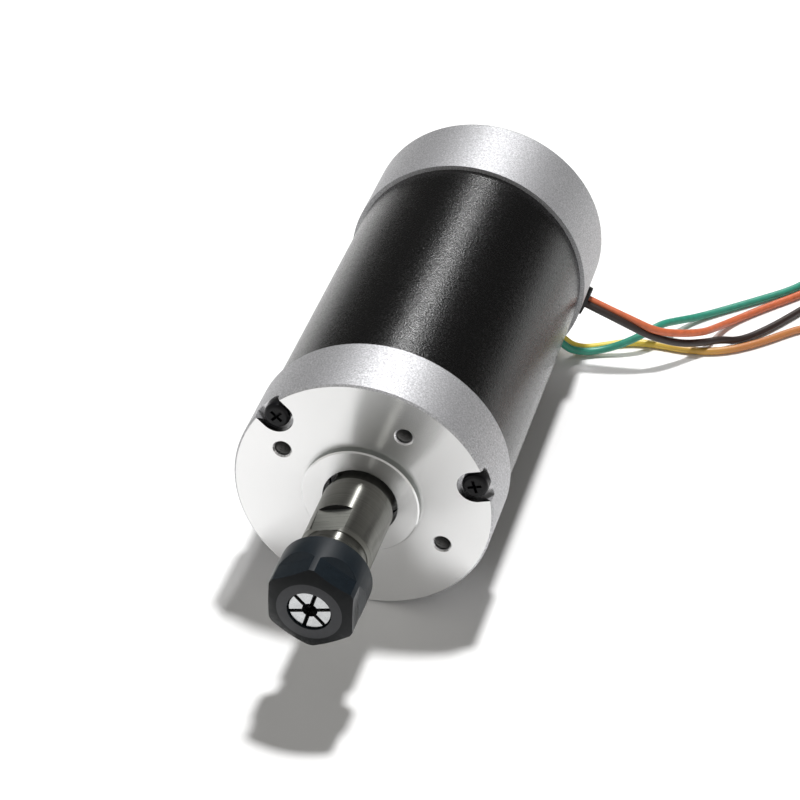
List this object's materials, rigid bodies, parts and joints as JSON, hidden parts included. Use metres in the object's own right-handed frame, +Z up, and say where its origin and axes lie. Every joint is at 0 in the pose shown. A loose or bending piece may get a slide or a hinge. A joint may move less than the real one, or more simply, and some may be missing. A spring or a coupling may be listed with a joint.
{
  "type": "motor spindle",
  "caption": "Small brushless motor spindle with a collet chuck nose, wrench flats, tapped face mount and free leads",
  "frame": {"origin": "centre of the front mounting face, on the axis of rotation", "axes": "+Y along the axis from the collet nose to the rear cap, +Z up with the motor lying on its side, +X to the side the leads leave on"},
  "size_m": [0.1381, 0.247, 0.055],
  "materials": {
    "blasted_aluminium": "fine blasted outside, turned faces",
    "black_coat": "fine-grained black powder coat",
    "black_oxide_screw": "black oxide steel",
    "ground_steel": "fine ground",
    "blackened_nut": "satin black oxide",
    "spring_steel_collet": "bright ground",
    "bearing_steel": "polished",
    "pressed_steel": "plain",
    "spring_steel": "phosphated",
    "electrical_steel": "stacked laminations",
    "insulator_plastic": "moulded",
    "enamelled_copper": "enamelled copper wire",
    "board": "solder-masked glass-fibre board",
    "magnet_nickel": "nickel plated",
    "stainless_sleeve": "thin stainless tube",
    "brass_ring": "turned",
    "grommet_rubber": "moulded",
    "insulation_yellow": "satin insulation",
    "insulation_black": "satin insulation",
    "insulation_red": "satin insulation",
    "insulation_green": "satin insulation",
    "tinned_copper": "tinned strands"
  },
  "bodies": {
    "housing": {"front_bell": "blasted_aluminium", "stator_tube": "black_coat", "rear_cap": "blasted_aluminium", "front_cap_screws": "black_oxide_screw", "rear_cap_screws": "black_oxide_screw", "front_bearing_outer_ring": "bearing_steel", "rear_bearing_outer_ring": "bearing_steel", "front_bearing_shields": "pressed_steel", "rear_bearing_shields": "pressed_steel", "bell_circlip": "spring_steel", "preload_spring": "spring_steel", "stator_core": "electrical_steel", "front_insulator": "insulator_plastic", "rear_insulator": "insulator_plastic", "stator_coils": "enamelled_copper", "lead_board": "board", "upper_grommet": "grommet_rubber", "lower_grommet": "grommet_rubber", "yellow_lead": "insulation_yellow", "yellow_lead_coil": "insulation_yellow", "yellow_lead_tip": "tinned_copper", "black_lead": "insulation_black", "black_lead_coil": "insulation_black", "black_lead_tip": "tinned_copper", "red_lead": "insulation_red", "red_lead_coil": "insulation_red", "red_lead_tip": "tinned_copper", "green_lead": "insulation_green", "green_lead_coil": "insulation_green", "green_lead_tip": "tinned_copper"},
    "spindle": {"spindle_shaft": "ground_steel", "shaft_circlip": "spring_steel", "rotor_core": "electrical_steel", "rotor_magnets": "magnet_nickel", "rotor_sleeve": "stainless_sleeve", "rotor_end_rings": "brass_ring", "front_bearing_inner_ring": "bearing_steel", "rear_bearing_inner_ring": "bearing_steel"},
    "front_cage": {"front_bearing_balls": "bearing_steel", "front_bearing_cage": "pressed_steel"},
    "rear_cage": {"rear_bearing_balls": "bearing_steel", "rear_bearing_cage": "pressed_steel"},
    "collet": {"collet": "spring_steel_collet"},
    "nut": {"collet_nut": "blackened_nut"}
  },
  "joints": [
    {"name": "spindle_rotation", "type": "hinge", "parent": "housing", "child": "spindle", "pos_m": [0, 0, 0], "axis": [0, 1, 0], "continuous": true},
    {"name": "front_cage_rotation", "type": "hinge", "parent": "housing", "child": "front_cage", "pos_m": [0, 0.008, 0], "axis": [0, 1, 0], "continuous": true},
    {"name": "rear_cage_rotation", "type": "hinge", "parent": "housing", "child": "rear_cage", "pos_m": [0, 0.094, 0], "axis": [0, 1, 0], "continuous": true},
    {"name": "collet_draw", "type": "slide", "parent": "spindle", "child": "collet", "axis": [0, -1, 0], "range_m": [0, 0.0057]},
    {"name": "nut_turn", "type": "hinge", "parent": "collet", "child": "nut", "pos_m": [0, -0.031, 0], "axis": [0, -1, 0], "range_deg": [0, 2700]}
  ],
  "couplings": [
    {"joint": "front_cage_rotation", "follows": "spindle_rotation", "ratio": 0.381},
    {"joint": "rear_cage_rotation", "follows": "spindle_rotation", "ratio": 0.36944},
    {"joint": "collet_draw", "follows": "nut_turn", "m_per_rad": 0.00011937}
  ]
}
